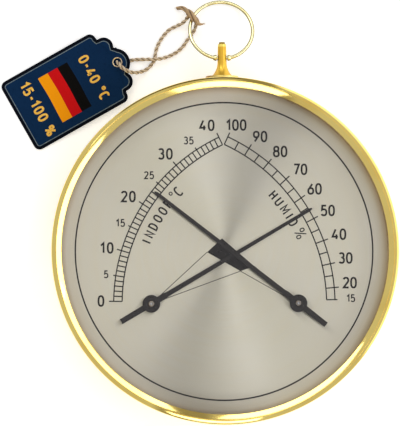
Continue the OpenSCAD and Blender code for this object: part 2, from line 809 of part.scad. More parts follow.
// A round stick between two points
module stick(a, b, ra, rb) {
  hull() {
    translate(a) sphere(r = ra, $fn = knot_fn);
    translate(b) sphere(r = rb, $fn = knot_fn);
  }
}

// A stub that ends flat, just short of the twine's end, and square to it
module knot_stub(from, end, dir) {
  tip = end - stub_gap * dir;
  hull() {
    translate(from) sphere(r = twine_r, $fn = knot_fn);
    translate(tip) rotate([0, acos(dir[2]), atan2(dir[1], dir[0])])
      translate([0, 0, -stub_flat]) cylinder(r = twine_r, h = stub_flat, $fn = knot_fn);
  }
}

module twine_knot() {
  n = len(twine_route);
  color("tan") with_ring() {
    for (i = [0 : len(knot_bundle) - 2])
      stick(knot_bundle[i], knot_bundle[i + 1], knot_radii[i], knot_radii[i + 1]);
    knot_stub(knot_bundle[knot_core], twine_route[0], heading(twine_route, 0));
    knot_stub(knot_bundle[knot_core + 1], twine_route[n - 1], -heading(twine_route, n - 1));
  }
}

case_drum();
bezel();
lens_gasket();
glass_lens();
spacer_ring();
dial_plate();
dial_print();
dial_seat_ring();
back_cover();
cover_brackets();
cover_screws();
thermo_bush();
thermo_pillars();
thermo_bridge();
thermo_bridge_screws();
thermo_adjuster();
thermo_coil();
thermo_arbor();
thermo_pointer();
thermo_hub();
thermo_collet();
hygro_bush();
hygro_pillars();
hygro_bridge();
hygro_bridge_screws();
hygro_adjuster();
hygro_coil();
hygro_arbor();
hygro_pointer();
hygro_hub();
hygro_collet();
hanger_stud();
stud_rosette();
stud_washer();
stud_nut();
hanging_ring();
swing_tag();
tag_eyelet();
tag_twine();
twine_knot();
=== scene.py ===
import math
import random

import bpy
import numpy as np
from mathutils import Matrix, Vector


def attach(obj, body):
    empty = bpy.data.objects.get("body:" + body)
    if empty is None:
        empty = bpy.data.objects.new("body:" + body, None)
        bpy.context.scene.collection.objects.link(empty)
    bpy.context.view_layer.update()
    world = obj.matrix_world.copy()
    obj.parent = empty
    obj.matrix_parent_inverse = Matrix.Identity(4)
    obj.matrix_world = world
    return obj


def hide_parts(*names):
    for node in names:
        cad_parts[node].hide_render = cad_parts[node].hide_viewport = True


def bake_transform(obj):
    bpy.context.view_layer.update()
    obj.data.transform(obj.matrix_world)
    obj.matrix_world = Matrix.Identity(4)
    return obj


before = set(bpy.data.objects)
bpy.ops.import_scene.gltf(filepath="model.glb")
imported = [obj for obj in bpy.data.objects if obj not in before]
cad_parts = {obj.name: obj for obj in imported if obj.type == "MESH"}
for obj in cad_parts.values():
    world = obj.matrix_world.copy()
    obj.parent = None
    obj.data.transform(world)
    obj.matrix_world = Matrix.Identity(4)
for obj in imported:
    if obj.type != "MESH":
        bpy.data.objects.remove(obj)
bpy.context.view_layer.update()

mm = 0.001


# Camera: it looks down on the laid-out object, four degrees off the upright, from two metres,
# with a long lens. One pixel is 0.3746 mm at the dial's face, 18.4 mm above the table, and the
# dial's centre lies at dial_u, dial_v in the frame.
dial_face = 18.4


def added(name, data):
    """A new object of the scene, with data."""
    made = bpy.data.objects.new(name, data)
    bpy.context.scene.collection.objects.link(made)
    return made


def camera():
    pixel = 0.3746 * mm
    frame_wide, frame_high = 400, 426
    dial_u, dial_v = 224.1, 251.4
    distance = 2.0
    tilt, roll = math.radians(4), math.radians(0.25)
    away = Vector((-0.76 * math.sin(tilt), -0.64 * math.sin(tilt), math.cos(tilt))).normalized()
    up = (Vector((0, 1, 0)) - away * away.y).normalized()
    right = up.cross(away)
    side = right * math.cos(roll) - up * math.sin(roll)
    top = up * math.cos(roll) + right * math.sin(roll)
    aim = Vector((
        (frame_wide / 2 - dial_u) * pixel, (dial_v - frame_high / 2) * pixel, dial_face * mm
    ))
    data = bpy.data.cameras.new("camera")
    data.sensor_fit = "VERTICAL"
    data.sensor_height = 24
    data.lens = data.sensor_height * distance / (frame_high * pixel)
    data.clip_start, data.clip_end = 0.1, 20
    made = added("camera", data)
    turned = Matrix((side, top, away)).transposed().to_4x4()
    made.matrix_world = Matrix.Translation(aim + distance * away) @ turned
    bpy.context.scene.camera = made


camera()


# Twine: two-ply jute, about 100 mm of it between the tag's eyelet and the knot on the ring.
# It lies on the table, goes down through the eyelet and passes once over itself.
def shade(red, green, blue):
    """A screen colour from 0 to 255 as the linear colour that a shader takes."""
    return tuple(
        c / 12.92 if c <= 0.04045 else ((c + 0.055) / 1.055) ** 2.4
        for c in (red / 255, green / 255, blue / 255)
    )


class Value:
    """A shader socket: arithmetic on it adds the Math nodes that it stands for."""

    def __init__(self, finish, socket):
        self.finish, self.socket = finish, socket

    def math(self, operation, *others):
        values = dict(enumerate((self, *others)))
        return self.finish.node("Math", {"operation": operation}, values)

    def __add__(self, other):
        return self.math("ADD", other)

    def __sub__(self, other):
        return self.math("SUBTRACT", other)

    def __rsub__(self, other):
        return self.finish.node("Math", {"operation": "SUBTRACT"}, {0: other, 1: self})

    def __mul__(self, other):
        return self.math("MULTIPLY", other)

    def __truediv__(self, other):
        return self.math("DIVIDE", other)

    __radd__ = __add__
    __rmul__ = __mul__

    def above(self, edge, width):
        """0 below edge, 1 above edge + width, and smooth between them."""
        return self.finish.node(
            "MapRange", {"interpolation_type": "SMOOTHSTEP"}, {0: self, 1: edge, 2: edge + width}
        )

    def between(self, low, high, width):
        return self.above(low, width) * (1 - self.above(high, width))


class Finish:
    """One material, or the world, built from its shader nodes."""

    def __init__(self, name, kind="materials"):
        self.material = getattr(bpy.data, kind).new(name)
        self.material.use_nodes = True
        self.tree = self.material.node_tree
        self.tree.nodes.clear()

    def node(self, kind, settings=None, values=None, out=0):
        """A new node, with its settings and its inputs, as one of its outputs."""
        made = self.tree.nodes.new("ShaderNode" + kind)
        for name, setting in (settings or {}).items():
            setattr(made, name, setting)
        for key, value in (values or {}).items():
            if isinstance(value, Value):
                self.tree.links.new(value.socket, made.inputs[key])
            elif made.inputs[key].type == "RGBA":
                made.inputs[key].default_value = (*value, 1)
            else:
                made.inputs[key].default_value = value
        return Value(self, made.outputs[out]) if made.outputs else None

    def place(self):
        """The point on the piece, in metres in the object's own frame."""
        return self.node("TexCoord", out="Object")

    def stretched(self, at, x, y, z):
        return self.node("VectorMath", {"operation": "MULTIPLY"}, {0: at, 1: (x, y, z)})

    def split(self, at):
        first = self.node("SeparateXYZ", values={0: at})
        return [Value(self, first.socket.node.outputs[i]) for i in range(3)]

    def noise(self, at, scale, detail=3.0, roughness=0.55):
        values = {"Vector": at, "Scale": scale, "Detail": detail, "Roughness": roughness}
        return self.node("TexNoise", values=values)

    def mix(self, low, high, share):
        settings = {"data_type": "RGBA"}
        return self.node("Mix", settings, {0: share, 6: low, 7: high}, out=2)

    def bump(self, height, strength, distance):
        values = {"Height": height, "Strength": strength, "Distance": distance}
        return self.node("Bump", values=values)

    def surface(self, **values):
        """The Principled shader, with its sockets by name: base_color is Base Color."""
        sockets = {
            key.replace("_", " ").title().replace("Ior", "IOR"): value
            for key, value in values.items()
        }
        self.show(self.node("BsdfPrincipled", values=sockets))

    def show(self, made):
        self.node("OutputMaterial", values={"Surface": made})


def turning_frames(path):
    """Unit tangents along a path, with normals and binormals that turn as little as they can."""
    ahead = np.gradient(path, axis=0)
    ahead /= np.linalg.norm(ahead, axis=1)[:, None]
    start = np.cross(ahead[0], (0, 0, 1) if abs(ahead[0][2]) < 0.9 else (1, 0, 0))
    normals = [start / np.linalg.norm(start)]
    for direction in ahead[1:]:
        turned = normals[-1] - direction * normals[-1].dot(direction)
        normals.append(turned / np.linalg.norm(turned))
    normals = np.array(normals)
    return ahead, normals, np.cross(ahead, normals)


def smooth_path(points, step):
    """A smooth curve through the points, resampled at an even step."""
    points = np.array(points, float)
    ends = [2 * points[0] - points[1], *points, 2 * points[-1] - points[-2]]
    curve = []
    for a, b, c, d in zip(ends, ends[1:], ends[2:], ends[3:]):
        knots = [0.0]
        for p, q in ((a, b), (b, c), (c, d)):
            knots.append(knots[-1] + math.sqrt(np.linalg.norm(q - p)))
        for t in np.linspace(knots[1], knots[2], 24, endpoint=False):
            row = [a, b, c, d]
            for lows, highs in (((0, 1, 2), (1, 2, 3)), ((0, 1), (2, 3)), ((1,), (2,))):
                row = [
                    ((knots[j] - t) * p + (t - knots[i]) * q) / (knots[j] - knots[i])
                    for p, q, i, j in zip(row, row[1:], lows, highs)
                ]
            curve.append(row[0])
    curve = np.array([*curve, points[-1]])
    run = np.concatenate([[0], np.cumsum(np.linalg.norm(np.diff(curve, axis=0), axis=1))])
    even = np.linspace(0, run[-1], max(8, round(run[-1] / step)))
    return np.array([np.interp(even, run, curve[:, i]) for i in range(3)]).T


class Shape:
    """Points and faces of one piece, with a vector for each point that its finish may read."""

    def __init__(self):
        self.points, self.faces, self.lay = [], [], []

    def ring(self, points):
        """Adds a ring of points and returns its start."""
        self.points += points
        return len(self.points) - len(points)

    def band(self, low, high, count):
        """The faces between two rings of count points, which start at low and at high."""
        for i in range(count):
            j = (i + 1) % count
            self.faces.append((low + i, low + j, high + j, high + i))

    def tube(self, path, radii, sides, lay=None):
        """A closed tube along path, kept above the table. radii is one number or one a point."""
        path = np.array(path, float)
        radii = np.broadcast_to(radii, len(path))
        _, normals, across = turning_frames(path)
        base = len(self.points)
        angles = 2 * np.pi * np.arange(sides) / sides
        for i, centre in enumerate(path):
            for a in angles:
                out = math.cos(a) * normals[i] + math.sin(a) * across[i]
                point = np.maximum(centre + radii[i] * out, (-1, -1, 0))
                self.points.append(point)
                self.lay.append((math.cos(a), math.sin(a), i) if lay is None else lay(i, a, point))
        last = base + (len(path) - 1) * sides
        for row in range(base, last, sides):
            self.band(row, row + sides, sides)
        self.faces.append(tuple(base + k for k in reversed(range(sides))))
        self.faces.append(tuple(last + k for k in range(sides)))

    def plies(self, path, radius, pitch, taper=1.0, count=2):
        """Plies twisted round each other along path, pressed together where they touch. The
        finish reads how far a point is from the cord's middle, and so where the grooves are."""
        ply, offset = (0.58, 0.44) if count == 2 else (0.54, 0.5)
        _, normals, across = turning_frames(path)
        step = np.linalg.norm(path[1] - path[0])
        reach = radius * np.broadcast_to(taper, len(path))
        fibre_turn = 3.2 * step / radius
        for turn in 2 * np.pi * np.arange(count) / count:
            angle = 2 * np.pi * np.arange(len(path)) * step / pitch + turn
            out = np.cos(angle)[:, None] * normals + np.sin(angle)[:, None] * across

            def lay(i, a, point):
                twist, share = a - fibre_turn * i, np.linalg.norm(point - path[i]) / reach[i]
                along = 0.22 * i * step / radius + turn
                return share * math.cos(twist), share * math.sin(twist), along
            self.tube(path + (offset * reach)[:, None] * out, ply * reach, 10, lay)

    def fibre(self, dice, start, direction, length, radius):
        """A stray fibre that curls away from start."""
        bend = Vector([dice.gauss(0, 1) for _ in range(3)]) * 0.5
        steps = np.linspace(0, 1, 5)
        path = [start + direction * length * t + np.array(bend) * length * t * t for t in steps]
        path = [(x, y, max(z, radius)) for x, y, z in path]
        self.tube(path, radius * (1.1 - 0.8 * steps), 3)

    def build(self, name, finish, sharp=32):
        mesh = bpy.data.meshes.new(name)
        mesh.from_pydata([tuple(map(float, p)) for p in self.points], [], self.faces)
        mesh.validate()
        if self.lay:
            lay = mesh.attributes.new("lay", "FLOAT_VECTOR", "POINT")
            lay.data.foreach_set("vector", np.array(self.lay, np.float32).ravel())
        mesh.shade_smooth()
        mesh.set_sharp_from_angle(angle=math.radians(sharp))
        mesh.materials.append(finish.material)
        return added(name, mesh)


def jute(name, *tones):
    light, dark, pale, deep = (shade(*tone) for tone in tones)
    made = Finish(name)
    at = made.place()
    lay = made.node("Attribute", {"attribute_name": "lay"}, out="Vector")
    fibres = made.noise(made.stretched(lay, 3.2, 3.2, 1.0), 2.6, 4, 0.65)
    patches = made.noise(at, 420, 2)
    slubs = made.noise(at, 1500, 2)
    tone = made.mix(dark, light, fibres.above(0.3, 0.4))
    tone = made.mix(tone, pale, patches.above(0.5, 0.3) * 0.5)
    tone = made.mix(tone, deep, slubs.above(0.6, 0.2) * 0.5)
    along, round_it, _ = made.split(lay)
    reach = (along * along + round_it * round_it).math("SQRT")
    # Painted shade: the grooves between the plies, near the cord's middle, darken to the deep
    # tone.
    tone = made.mix(deep, tone, reach.above(0.5, 0.42))
    made.surface(
        base_color=tone,
        roughness=0.78 + fibres * 0.18,
        specular_ior_level=0.25,
        sheen_weight=0.25,
        normal=made.bump(fibres + slubs * 0.6, 0.8, 0.00012),
    )
    return made


def metres(points):
    """Points in mm as exact metres."""
    return [tuple(round(w / 1000, 7) for w in point) for point in points]


# Its way in mm, with flat as its middle's height where it lies on the table
flat = 0.75
twine_route = metres([
    (-12.9, 88.7, 3.6), (-14.4, 87.1, 2.1), (-16.6, 86, 0.9), (-19.4, 84.6, flat),
    (-21.6, 82.3, flat), (-23.6, 79.1, flat), (-24.6, 76.2, flat), (-25.1, 73.4, flat),
    (-26.5, 71, flat), (-28.5, 69.3, 1), (-30.9, 68.4, 1.95), (-33.2, 68.2, 3.35),
    (-35.5, 68.8, 4.1), (-37.3, 69.9, 4.3), (-38.1, 70.8, 4.05), (-38.7, 71.6, 3.3),
    (-39.2, 72.2, 2.45), (-39.6, 72.7, 1.75), (-40.3, 73.5, 1), (-41.1, 74.4, flat),
    (-42.6, 75.1, flat), (-44.6, 75.1, flat), (-46.3, 73.7, flat), (-46.8, 71.4, flat),
    (-45.6, 69.4, flat), (-43.4, 68.6, flat), (-40.4, 69, flat), (-37.9, 70.4, flat),
    (-35.8, 72, flat), (-33.4, 73.1, flat), (-30.4, 73.3, 1.05), (-27.7, 73.3, 1.9),
    (-24.9, 73.3, 2.5), (-22, 73.7, 1.95), (-19.2, 74.7, 1.05), (-16.5, 76.2, flat),
    (-14.3, 78.2, flat), (-12.5, 80.8, flat), (-10.9, 82.9, 1), (-9.8, 84.8, 1.9),
    (-9.4, 86.6, 3.2),
])
twine_radius = 0.74 * mm
twine_pitch = 4.4 * mm
flex_start, flex_end = (-0.037, 0.071, 0.0035), (-0.0105, 0.088, 0.004)
jute_tan = jute("jute_tan", (232, 213, 186), (190, 169, 140), (242, 230, 208), (136, 115, 88))

path = smooth_path(twine_route, 0.22 * mm)
shape = Shape()
shape.plies(path, twine_radius, twine_pitch)
twine = shape.build("jute_twine", jute_tan, sharp=60)
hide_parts("tag_twine")
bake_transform(twine)
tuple(flex_start)
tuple(flex_end)

# Stray fibres, but none where the twine lies under the card
card_from, card_low = -35 * mm, 3 * mm
dice = random.Random(11)
shape = Shape()
ahead, normals, across = turning_frames(path)
for _ in range(260):
    i = dice.randrange(4, len(path) - 4)
    if path[i][0] < card_from and path[i][2] < card_low:
        continue
    angle = dice.uniform(0, 2 * math.pi)
    out = math.cos(angle) * normals[i] + math.sin(angle) * across[i]
    lean = ahead[i] * dice.choice((-1, 1)) + out * dice.uniform(0.15, 0.6)
    start = path[i] + out * twine_radius * 0.8
    shape.fibre(dice, start, lean, dice.uniform(0.5, 1.5) * mm, 0.022 * mm)
fuzz = shape.build("twine_fuzz", jute_tan, sharp=60)
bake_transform(fuzz)
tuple(flex_start)
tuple(flex_end)


# Knot: the twine's two loose ends, drawn together over the ring's wire into one thick bundle of
# three strands. One blunt end lies on the table, and a short frayed one points the other way.
knot_line = [
    (-16.6, 92.8, 1), (-15.4, 92.8, 1.5), (-13.9, 92.4, 2.5), (-12.6, 91.4, 3.9), (-11.4, 90.1, 5),
    (-10.3, 88.8, 5.3), (-9.4, 87.6, 5.1), (-8.7, 86.5, 4.5),
]
knot_widths = (0.7, 0.78, 0.9, 1.02, 1.2, 1.34, 1.2, 0.7)
jute_brown = jute("jute_brown", (208, 176, 134), (150, 118, 80), (220, 192, 152), (78, 54, 30))
knot_step = 0.15 * mm
core = smooth_path(metres(knot_line), knot_step)
ahead, _, _ = turning_frames(core)
shape = Shape()
places = np.linspace(0, len(knot_widths) - 1, len(core))
widths = np.interp(places, range(len(knot_widths)), knot_widths)
shape.plies(core, 1 * mm, 15 * mm, taper=widths, count=3)
tail_line = [(-9.4, 87.4, 4.8), (-8.6, 86.6, 4.4), (-7.5, 86.4, 4), (-6.3, 86.7, 3.7)]
tail = smooth_path(metres(tail_line), knot_step)
shape.tube(tail, np.linspace(1, 0.14, len(tail)) * mm, 12)

# Both strands of the cord run up into the bundle
for strand_end, ahead_of, target in ((0, 1, 0.4), (-1, -2, 0.86)):
    end = np.array(twine_route[strand_end])
    heading = end - np.array(twine_route[ahead_of])
    heading /= np.linalg.norm(heading)
    goal = core[int(target * len(core))]
    rise = [end + 0.08 * mm * heading, end + 0.9 * mm * heading, goal]
    shape.plies(smooth_path(rise, knot_step), 0.72 * mm, twine_pitch)

# Frayed ends, and stray fibres all over
dice = random.Random(5)
for start, lean, count in ((core[1], -ahead[1], 12), (tail[-2], tail[-1] - tail[-4], 16)):
    lean = lean / np.linalg.norm(lean)
    for _ in range(count):
        out = np.array([dice.gauss(0, 0.3) for _ in range(3)])
        begin = start + out * 0.5 * mm
        shape.fibre(dice, begin, lean + out, dice.uniform(0.4, 1.0) * mm, 0.03 * mm)
for _ in range(50):
    i = dice.randrange(len(core))
    out = np.array([dice.gauss(0, 1) for _ in range(3)])
    out /= np.linalg.norm(out)
    lean = ahead[i] * dice.choice((-1, 1)) + 0.5 * out
    shape.fibre(dice, core[i] + out * 0.9 * mm, lean, dice.uniform(0.4, 0.9) * mm, 0.022 * mm)
knot = shape.build("jute_knot", jute_brown, sharp=60)
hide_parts("twine_knot")
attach(knot, "ring")


# Swing tag: a thin printed card with a shouldered, round-nosed end. Its face has a fine border
# line, three plain stripes and two rows of the dial's ranges, printed before it was die-cut.
tag_turn, tag_tilt = math.radians(29.35), math.radians(2.93)
eyelet_at = np.array((-39.2, 72.2, 0.0)) * mm
eyelet_u = 43 * mm
card_t = 0.5 * mm
tag_u = np.array((
    math.cos(tag_turn) * math.cos(tag_tilt), math.sin(tag_turn) * math.cos(tag_tilt),
    math.sin(tag_tilt),
))
tag_v = np.array((-math.sin(tag_turn), math.cos(tag_turn), 0.0))
tag_up = np.cross(tag_u, tag_v)
level = np.array((math.cos(tag_turn), math.sin(tag_turn), 0.0))
tag_origin = eyelet_at - eyelet_u * math.cos(tag_tilt) * level
inside_u = 25


def on_tag(u, v, w):
    """A point on the tag: u metres from its straight end, v across and w above its underside."""
    return tag_origin + u * tag_u + v * tag_v + w * tag_up


def tag_reach(u, v):
    """Below zero inside the card's outline: two rectangles, corner circles, lobes and nose."""
    def box(low_u, high_u, half_v):
        return max(low_u - u, u - high_u, abs(v) - half_v)

    def disc(at_u, at_v, radius):
        return math.hypot(u - at_u, abs(v) - at_v) - radius
    return min(
        box(2.4, 37.9, 14.6), box(0, 40.3, 12.2), box(39, 45.4, 5.3),
        disc(2.4, 12.2, 2.4), disc(37.9, 12.2, 2.4), disc(41.3, 7.5, 3.65), disc(42.15, 0, 5.6),
    )


def tag_outline(count):
    """The card's outline in metres, found along rays from a point inside_u mm up it."""
    found = []
    for a in np.linspace(0, 2 * np.pi, count, endpoint=False):
        near, far = 0.0, 40.0
        for _ in range(34):
            middle = (near + far) / 2
            if tag_reach(inside_u + middle * math.cos(a), middle * math.sin(a)) < 0:
                near = middle
            else:
                far = middle
        found.append((inside_u + near * math.cos(a), near * math.sin(a)))
    return np.array(found) * mm


def inset(outline, distance):
    """The outline moved inwards, without the loops that this makes in its notches."""
    ahead = np.roll(outline, -1, 0) - np.roll(outline, 1, 0)
    inwards = np.stack([-ahead[:, 1], ahead[:, 0]], 1) / np.linalg.norm(ahead, axis=1)[:, None]
    moved = outline + distance * inwards
    kept = [p for p in moved if np.linalg.norm(outline - p, axis=1).min() > 0.985 * distance]
    return np.array(kept)


count, hole_r, cut_edge = 360, 1.75 * mm, 0.09 * mm
outline = tag_outline(count)
hole = [
    (eyelet_u + hole_r * math.cos(a), hole_r * math.sin(a))
    for a in np.linspace(0, 2 * np.pi, count, endpoint=False)
]
inwards = np.array((inside_u * mm, 0.0)) - outline
pulled = outline + cut_edge * inwards / np.linalg.norm(inwards, axis=1)[:, None]
layers = [
    (pulled, 0), (outline, cut_edge), (outline, card_t - cut_edge), (pulled, card_t),
    (hole, 0), (hole, card_t),
]
shape = Shape()
rings = [shape.ring([on_tag(u, v, height) for u, v in points]) for points, height in layers]
for low, high in ((0, 1), (1, 2), (2, 3), (5, 4)):
    shape.band(rings[low], rings[high], count)

# The faces run from each rim point to the hole's point that looks towards it
seen = pulled - np.array((eyelet_u, 0))
facing = np.round(np.arctan2(seen[:, 1], seen[:, 0]) / (2 * np.pi) * count).astype(int) % count
for ring, rim, face_up in ((rings[0], rings[4], False), (rings[3], rings[5], True)):
    for i in range(count):
        j = (i + 1) % count
        a, b = facing[i], facing[j]
        span = [rim + (a + k) % count for k in range((b - a) % count + 1)]
        face = [ring + i, ring + j, *reversed(span)]
        shape.faces.append(tuple(face if face_up else reversed(face)))


def tag_card():
    made = Finish("tag_card_print")
    at = made.place()
    from_origin = made.node("VectorMath", {"operation": "SUBTRACT"}, {0: at, 1: tuple(tag_origin)})

    def along(axis):
        dot = made.node(
            "VectorMath", {"operation": "DOT_PRODUCT"}, {0: from_origin, 1: tuple(axis)},
            out="Value",
        )
        return dot * 1000
    u, v, w = along(tag_u), along(tag_v), along(tag_up)
    grain = made.noise(at, 900, 3)
    smudge = made.noise(at, 90, 2)
    navy = made.mix(shade(6, 35, 67), shade(11, 42, 76), smudge)
    navy = made.mix(navy, shade(4, 22, 44), grain.above(0.52, 0.3) * 0.5)
    wave = u - (v * 0.34 + 1.2).math("SINE") * 0.12
    printed_part = v.between(-9.7, 9.3, 0.08) * w.above(0.4, 0.02)
    tone = navy
    start, stripe_wide = 13.9, 4.2
    for colour in ((238, 150, 10), (194, 16, 20), (10, 9, 8)):
        stripe = wave.between(start, start + stripe_wide, 0.08) * printed_part
        tone = made.mix(tone, shade(*colour), stripe)
        start += stripe_wide
    edge = w.between(0.03, 0.47, 0.02)
    tone = made.mix(tone, shade(150, 146, 138), edge * grain.above(0.45, 0.2) * 0.6)
    made.surface(
        base_color=tone,
        roughness=0.6 + grain * 0.2,
        specular_ior_level=0.05,
        normal=made.bump(grain, 0.25, 0.00006),
    )
    return made


card = shape.build("swing_tag_card", tag_card(), sharp=40)
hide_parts("swing_tag")
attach(card, "root")


def oval(x, y, wide, high, start, stop):
    """Part of a full oval, as a sign writer's compasses draw it."""
    points, fullness = [], 0.82
    for a in np.radians(np.linspace(start, stop, max(4, int(abs(stop - start) / 14)))):
        c, s = (math.copysign(abs(w) ** fullness, w) for w in (math.cos(a), math.sin(a)))
        points.append((x + wide * c, y + high * s))
    return points


# Each figure's or letter's width and strokes, for a height of 1
six = [(0.37, 1.0), (0.10, 0.52), *oval(0.24, 0.29, 0.22, 0.29, 155, -215)]
stem = [(0.02, 0.0), (0.02, 1.0)]
figures = {
    "0": (0.48, [oval(0.24, 0.5, 0.22, 0.5, 90, 450)]),
    "1": (0.32, [[(0.0, 0.74), (0.23, 1.0), (0.23, 0.0)]]),
    "2": (0.46, [[*oval(0.23, 0.75, 0.21, 0.25, 165, -28), (0.03, 0.0), (0.47, 0.0)]]),
    "3": (0.46, [[*oval(0.22, 0.77, 0.19, 0.23, 150, -75),
                  *oval(0.22, 0.27, 0.22, 0.27, 75, -150)]]),
    "4": (0.50, [[(0.29, 1.0), (0.02, 0.25), (0.50, 0.25)], [(0.37, 0.48), (0.37, 0.0)]]),
    "5": (0.46, [[(0.42, 1.0), (0.08, 1.0), (0.05, 0.56),
                  *oval(0.21, 0.31, 0.23, 0.31, 110, -150)]]),
    "6": (0.48, [six]),
    "7": (0.44, [[(0.0, 1.0), (0.44, 1.0), (0.14, 0.0)]]),
    "8": (0.48, [oval(0.24, 0.77, 0.19, 0.23, -90, 270), oval(0.24, 0.27, 0.22, 0.27, 90, 450)]),
    "9": (0.48, [[(0.48 - x, 1 - y) for x, y in six]]),
    "-": (0.34, [[(0.03, 0.44), (0.31, 0.44)]]),
    " ": (0.22, []),
    "°": (0.24, [oval(0.12, 0.86, 0.10, 0.12, 90, 450)]),
    "%": (0.72, [oval(0.15, 0.79, 0.13, 0.2, 90, 450), oval(0.57, 0.21, 0.13, 0.2, 90, 450),
                 [(0.6, 1.0), (0.12, 0.0)]]),
    "C": (0.46, [oval(0.25, 0.5, 0.23, 0.5, 48, 312)]),
    "I": (0.12, [[(0.06, 0.0), (0.06, 1.0)]]),
    "N": (0.46, [[*stem, (0.44, 0.0), (0.44, 1.0)]]),
    "D": (0.46, [[*stem, *oval(0.16, 0.5, 0.28, 0.5, 90, -90), (0.02, 0.0)]]),
    "O": (0.48, [oval(0.24, 0.5, 0.23, 0.5, 90, 450)]),
    "R": (0.47, [[*stem, *oval(0.22, 0.75, 0.22, 0.25, 90, -90), (0.02, 0.5)],
                 [(0.24, 0.5), (0.46, 0.0)]]),
    "H": (0.46, [stem, [(0.44, 0.0), (0.44, 1.0)], [(0.02, 0.5), (0.44, 0.5)]]),
    "U": (0.46, [[(0.02, 1.0), *oval(0.23, 0.26, 0.21, 0.26, 180, 360), (0.44, 1.0)]]),
    "M": (0.60, [[*stem, (0.30, 0.28), (0.58, 1.0), (0.58, 0.0)]]),
}


def ink_stroke(shape, points, width, thick, place):
    """One stroke of ink: a flat strip along points. place turns (x, y, height) into a point."""
    points = np.array(points, float)
    closed = np.linalg.norm(points[0] - points[-1]) < 1e-6
    if closed:
        points = points[:-1]
    before, after = np.roll(points, 1, 0), np.roll(points, -1, 0)
    if not closed:
        before[0], after[-1] = 2 * points[0] - points[1], 2 * points[-1] - points[-2]
    into = (points - before) / np.linalg.norm(points - before, axis=1)[:, None]
    out = (after - points) / np.linalg.norm(after - points, axis=1)[:, None]
    left = np.stack([-into[:, 1] - out[:, 1], into[:, 0] + out[:, 0]], 1)
    left /= np.linalg.norm(left, axis=1)[:, None]
    sharpest = 0.45
    half_turn = np.clip((left * np.stack([-into[:, 1], into[:, 0]], 1)).sum(1), sharpest, 1)
    shift = left * (width / 2 / half_turn)[:, None]
    base, count = len(shape.points), len(points)
    for p, s in zip(points, shift):
        for side, height in ((1, 0), (-1, 0), (1, thick), (-1, thick)):
            x, y = p + side * s
            shape.points.append(place(x, y, height))
    for i in range(count if closed else count - 1):
        a, b = base + 4 * i, base + 4 * ((i + 1) % count)
        shape.faces += [(a + 2, a + 3, b + 3, b + 2), (a, b, b + 1, a + 1),
                        (a, a + 2, b + 2, b), (a + 1, b + 1, b + 3, a + 3)]
    if not closed:
        last = base + 4 * (count - 1)
        shape.faces += [(base, base + 1, base + 3, base + 2), (last, last + 2, last + 3, last + 1)]


def lettering(shape, words, height, width, thick, place, spacing=0.3):
    """Words about the origin of place: strokes width wide, their middles height apart."""
    wide = 1.15
    total = sum(figures[c][0] * wide + spacing for c in words) - spacing
    x = -total / 2
    for c in words:
        for stroke in figures[c][1]:
            line = [((x + px * wide) * height, (py - 0.5) * height) for px, py in stroke]
            ink_stroke(shape, line, width, thick, place)
        x += figures[c][0] * wide + spacing


def printed(name, light, dark, rough=0.5, shine=0.3):
    """Opaque printing ink, a little uneven where it took less well."""
    made = Finish(name)
    at = made.place()
    patchy = made.noise(at, 2200, 3)
    tone = made.mix(shade(*dark), shade(*light), patchy.above(0.42, 0.3))
    made.surface(
        base_color=tone, roughness=rough + patchy * 0.2, specular_ior_level=shine,
        normal=made.bump(patchy, 0.2, 0.00003),
    )
    return made


yellow_ink = printed("tag_yellow_ink", (248, 204, 96), (226, 170, 58))
shape = Shape()
for words, centre_u, spacing in (("0-40 °C", 32.5, 0.34), ("15-100 %", 8.3, 0.36)):
    lettering(
        shape, words, 3.4 * mm, 0.8 * mm, 0.03 * mm,
        lambda x, y, h, u0=centre_u: on_tag(u0 * mm + y, -x - 0.6 * mm, card_t + h), spacing,
    )
rows = shape.build("tag_ranges", yellow_ink)
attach(rows, "root")

border_ink = printed("tag_border_ink", (140, 150, 146), (100, 114, 118), 0.6, 0.1)
rim_ink = printed("tag_rim_ink", (5, 10, 22), (3, 6, 15), 0.6, 0.05)
for name, ink, distance, width, thick in (
    ("tag_border", border_ink, 1.42, 0.24, 0.03), ("tag_dark_rim", rim_ink, 0.62, 1.0, 0.02),
):
    shape = Shape()
    line = inset(outline, distance * mm)
    ink_stroke(
        shape, [*line, line[0]], width * mm, thick * mm, lambda x, y, h: on_tag(x, y, card_t + h)
    )
    border = shape.build(name, ink)
    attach(border, "root")


# Eyelet: a short tube of thin brass through the card's punched hole, rolled over on both faces
# so that it can't come out. The twine runs through it.
def metal(name, light, dark, rough, coat=0.0, grain=700, wave=0.0, tarnish=None, shaded_flanks=None):
    """Polished or satin metal with faint patches, rubbed marks and the slight waves of sheet.
    The flanks colour is painted shade, laid on the sides where the surface turns away from up,
    darker than the top."""
    made = Finish(name)
    at = made.place()
    patches = made.noise(at, 60, 3)
    fine = made.noise(at, grain, 4, 0.6)
    rubbed = made.noise(made.stretched(at, 160, 160, 700), 1.0, 3, 0.6)
    tone = made.mix(shade(*light), shade(*dark), patches.above(0.4, 0.4))
    tone = made.mix(tone, shade(*(tarnish or dark)), fine.above(0.64, 0.2) * 0.25)
    # Painted shade: the sides, where the normal turns away from up, take the darker flanks colour.
    if shaded_flanks:
        _, _, upward = made.split(made.node("TexCoord", out="Normal"))
        tone = made.mix(shade(*shaded_flanks), tone, upward.math("ABSOLUTE").above(0.55, 0.35))
    height = fine * 0.12
    if wave:
        height = height + made.noise(at, 36, 1) * wave
    made.surface(
        base_color=tone,
        metallic=1.0,
        roughness=rough + rubbed.above(0.5, 0.4) * (rough * 0.5) + fine.above(0.6, 0.2) * 0.03,
        coat_weight=coat,
        coat_roughness=0.04,
        normal=made.bump(height, 0.2, 0.00004),
    )
    return made


